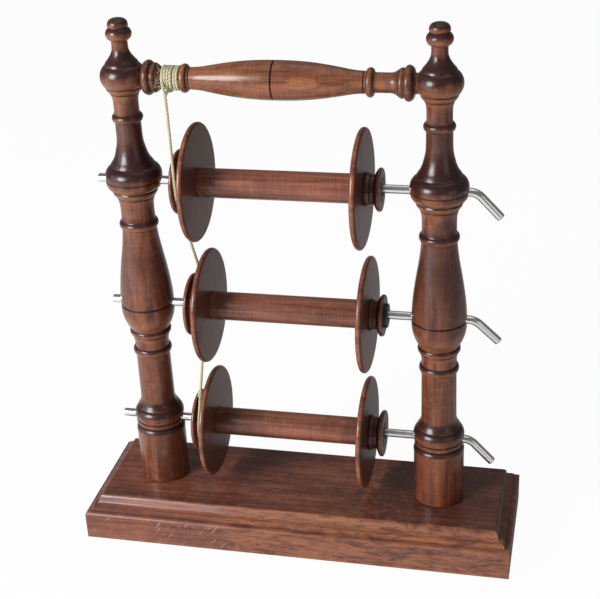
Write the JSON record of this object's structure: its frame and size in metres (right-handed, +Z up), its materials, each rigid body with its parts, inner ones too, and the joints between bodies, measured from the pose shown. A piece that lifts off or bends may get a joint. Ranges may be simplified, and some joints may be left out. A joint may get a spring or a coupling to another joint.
{
  "type": "lazy kate",
  "caption": "Turned wooden rack that holds three flanged bobbins on bent steel rods, with a cord brake tensioned from its top bar, for plying yarn.",
  "frame": {"origin": "middle of the board's underside", "axes": "+X along the board towards the rods' bent grips, +Y to the back, +Z up"},
  "size_m": [0.308, 0.0974, 0.3752],
  "materials": {
    "board_wood": "dark reddish brown stain under a satin varnish, fine straight grain along the board",
    "post_wood": "turned, dark reddish brown stain, glossy varnish",
    "bar_wood": "turned, dark reddish brown stain, glossy varnish",
    "bobbin_wood": "turned, dark reddish brown stain, satin varnish",
    "rod_steel": "bare drawn steel rod, bright",
    "bush_plastic": "black moulded plastic",
    "cord": "pale unbleached linen cord, three strands, slightly fuzzy"
  },
  "bodies": {
    "frame": {"base_board": "board_wood", "left_post": "post_wood", "right_post": "post_wood", "brake_cord": "cord", "brake_cord_knot": "cord", "brake_cord_noose": "cord"},
    "bar": {"top_bar": "bar_wood", "brake_cord_winding": "cord"},
    "upper_bobbin": {"upper_drive_end": "bobbin_wood", "upper_cap_end": "bobbin_wood", "upper_core": "bobbin_wood", "upper_drive_bush": "bush_plastic", "upper_cap_bush": "bush_plastic"},
    "upper_shaft": {"upper_rod": "rod_steel"},
    "middle_bobbin": {"middle_drive_end": "bobbin_wood", "middle_cap_end": "bobbin_wood", "middle_core": "bobbin_wood", "middle_drive_bush": "bush_plastic", "middle_cap_bush": "bush_plastic"},
    "middle_shaft": {"middle_rod": "rod_steel"},
    "lower_bobbin": {"lower_drive_end": "bobbin_wood", "lower_cap_end": "bobbin_wood", "lower_core": "bobbin_wood", "lower_drive_bush": "bush_plastic", "lower_cap_bush": "bush_plastic"},
    "lower_shaft": {"lower_rod": "rod_steel"}
  },
  "joints": [
    {"name": "bar_turn", "type": "hinge", "parent": "frame", "child": "bar", "pos_m": [-0.0038, 0, 0.337], "axis": [1, 0, 0], "range_deg": [-90, 90]},
    {"name": "upper_spin", "type": "hinge", "parent": "frame", "child": "upper_bobbin", "pos_m": [-0.0065, 0, 0.2654], "axis": [1, 0, 0], "continuous": true},
    {"name": "upper_draw", "type": "slide", "parent": "frame", "child": "upper_shaft", "axis": [1, 0, 0], "range_m": [0, 0.22]},
    {"name": "middle_spin", "type": "hinge", "parent": "frame", "child": "middle_bobbin", "pos_m": [-0.00485, 0, 0.1738], "axis": [1, 0, 0], "continuous": true},
    {"name": "middle_draw", "type": "slide", "parent": "frame", "child": "middle_shaft", "axis": [1, 0, 0], "range_m": [0, 0.22]},
    {"name": "lower_spin", "type": "hinge", "parent": "frame", "child": "lower_bobbin", "pos_m": [-0.00725, 0, 0.0794], "axis": [1, 0, 0], "continuous": true},
    {"name": "lower_draw", "type": "slide", "parent": "frame", "child": "lower_shaft", "axis": [1, 0, 0], "range_m": [0, 0.22]}
  ]
}
